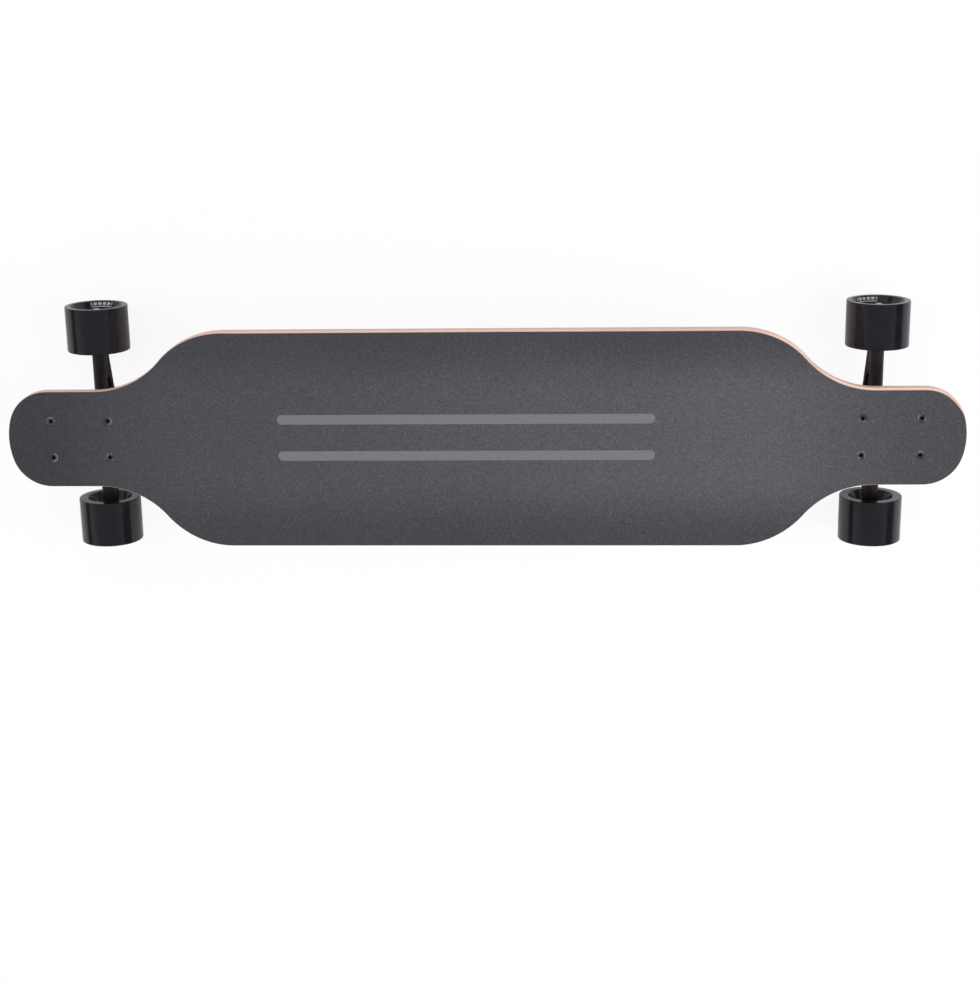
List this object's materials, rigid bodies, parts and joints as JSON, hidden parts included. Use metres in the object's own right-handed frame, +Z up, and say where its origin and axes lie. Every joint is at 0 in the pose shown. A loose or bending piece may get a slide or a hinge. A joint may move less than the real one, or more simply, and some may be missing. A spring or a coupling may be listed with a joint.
{
  "type": "longboard skateboard",
  "caption": "Long flat-decked skateboard with cut-out wheel wells, grit-covered top, reverse-kingpin steering trucks and wide soft wheels on ball bearings.",
  "frame": {"origin": "on the ground under the deck's centre, midway between the trucks", "axes": "+X along the deck towards its front, +Y to the rider's left across the board, +Z up"},
  "size_m": [1.0514, 0.2746, 0.117],
  "materials": {
    "deck_wood": "clear satin lacquer over pale maple plies",
    "grip_sheet": "fine dark grit, matte",
    "wheel_urethane": "gloss black cast urethane",
    "core_plastic": "moulded black, matte",
    "truck_casting": "satin black coat on cast aluminium",
    "bushing_urethane": "satin black cast urethane",
    "cup_urethane": "matte black moulded urethane",
    "zinc_steel": "bright zinc plate",
    "black_steel": "black oxide",
    "bearing_steel": "ground and polished"
  },
  "bodies": {
    "board": {"deck": "deck_wood", "grip_tape": "grip_sheet", "front_baseplate": "truck_casting", "front_pivot_cup": "cup_urethane", "front_kingpin": "zinc_steel", "front_kingpin_nut": "zinc_steel", "front_boardside_bushing": "bushing_urethane", "front_roadside_bushing": "bushing_urethane", "front_boardside_washer": "zinc_steel", "front_roadside_washer": "zinc_steel", "front_mounting_bolts": "black_steel", "front_mounting_nuts": "zinc_steel", "rear_baseplate": "truck_casting", "rear_pivot_cup": "cup_urethane", "rear_kingpin": "zinc_steel", "rear_kingpin_nut": "zinc_steel", "rear_boardside_bushing": "bushing_urethane", "rear_roadside_bushing": "bushing_urethane", "rear_boardside_washer": "zinc_steel", "rear_roadside_washer": "zinc_steel", "rear_mounting_bolts": "black_steel", "rear_mounting_nuts": "zinc_steel"},
    "front_truck": {"front_hanger": "truck_casting", "front_axle": "zinc_steel", "front_axle_nuts": "zinc_steel", "front_speed_washers": "zinc_steel", "front_bearing_inner_rings": "bearing_steel", "front_bearing_spacers": "zinc_steel"},
    "front_left_wheel": {"front_left_tyre": "wheel_urethane", "front_left_core": "core_plastic", "front_left_bearing_outer_rings": "bearing_steel", "front_left_bearing_shields": "black_steel"},
    "front_left_ball_set": {"front_left_bearing_balls": "bearing_steel", "front_left_bearing_cages": "black_steel"},
    "front_right_wheel": {"front_right_tyre": "wheel_urethane", "front_right_core": "core_plastic", "front_right_bearing_outer_rings": "bearing_steel", "front_right_bearing_shields": "black_steel"},
    "front_right_ball_set": {"front_right_bearing_balls": "bearing_steel", "front_right_bearing_cages": "black_steel"},
    "rear_truck": {"rear_hanger": "truck_casting", "rear_axle": "zinc_steel", "rear_axle_nuts": "zinc_steel", "rear_speed_washers": "zinc_steel", "rear_bearing_inner_rings": "bearing_steel", "rear_bearing_spacers": "zinc_steel"},
    "rear_left_wheel": {"rear_left_tyre": "wheel_urethane", "rear_left_core": "core_plastic", "rear_left_bearing_outer_rings": "bearing_steel", "rear_left_bearing_shields": "black_steel"},
    "rear_left_ball_set": {"rear_left_bearing_balls": "bearing_steel", "rear_left_bearing_cages": "black_steel"},
    "rear_right_wheel": {"rear_right_tyre": "wheel_urethane", "rear_right_core": "core_plastic", "rear_right_bearing_outer_rings": "bearing_steel", "rear_right_bearing_shields": "black_steel"},
    "rear_right_ball_set": {"rear_right_bearing_balls": "bearing_steel", "rear_right_bearing_cages": "black_steel"}
  },
  "joints": [
    {"name": "front_steer", "type": "hinge", "parent": "board", "child": "front_truck", "pos_m": [0.44847, 0, 0.05801], "axis": [0.6428, 0, 0.766], "range_deg": [-20, 20], "stiffness_Nm_per_rad": 30, "deforming": ["front_boardside_bushing", "front_roadside_bushing"]},
    {"name": "front_left_spin", "type": "hinge", "parent": "front_truck", "child": "front_left_wheel", "pos_m": [0.437, 0, 0.035], "axis": [0, 1, 0], "continuous": true},
    {"name": "front_left_ball_orbit", "type": "hinge", "parent": "front_truck", "child": "front_left_ball_set", "pos_m": [0.437, 0, 0.035], "axis": [0, 1, 0], "continuous": true},
    {"name": "front_right_spin", "type": "hinge", "parent": "front_truck", "child": "front_right_wheel", "pos_m": [0.437, 0, 0.035], "axis": [0, 1, 0], "continuous": true},
    {"name": "front_right_ball_orbit", "type": "hinge", "parent": "front_truck", "child": "front_right_ball_set", "pos_m": [0.437, 0, 0.035], "axis": [0, 1, 0], "continuous": true},
    {"name": "rear_steer", "type": "hinge", "parent": "board", "child": "rear_truck", "pos_m": [-0.44847, 0, 0.05801], "axis": [-0.6428, 0, 0.766], "range_deg": [-20, 20], "stiffness_Nm_per_rad": 30, "deforming": ["rear_boardside_bushing", "rear_roadside_bushing"]},
    {"name": "rear_left_spin", "type": "hinge", "parent": "rear_truck", "child": "rear_left_wheel", "pos_m": [-0.437, 0, 0.035], "axis": [0, 1, 0], "continuous": true},
    {"name": "rear_left_ball_orbit", "type": "hinge", "parent": "rear_truck", "child": "rear_left_ball_set", "pos_m": [-0.437, 0, 0.035], "axis": [0, 1, 0], "continuous": true},
    {"name": "rear_right_spin", "type": "hinge", "parent": "rear_truck", "child": "rear_right_wheel", "pos_m": [-0.437, 0, 0.035], "axis": [0, 1, 0], "continuous": true},
    {"name": "rear_right_ball_orbit", "type": "hinge", "parent": "rear_truck", "child": "rear_right_ball_set", "pos_m": [-0.437, 0, 0.035], "axis": [0, 1, 0], "continuous": true}
  ],
  "couplings": [
    {"joint": "front_left_ball_orbit", "follows": "front_left_spin", "ratio": 0.6323},
    {"joint": "front_right_ball_orbit", "follows": "front_right_spin", "ratio": 0.6323},
    {"joint": "rear_left_ball_orbit", "follows": "rear_left_spin", "ratio": 0.6323},
    {"joint": "rear_right_ball_orbit", "follows": "rear_right_spin", "ratio": 0.6323}
  ]
}
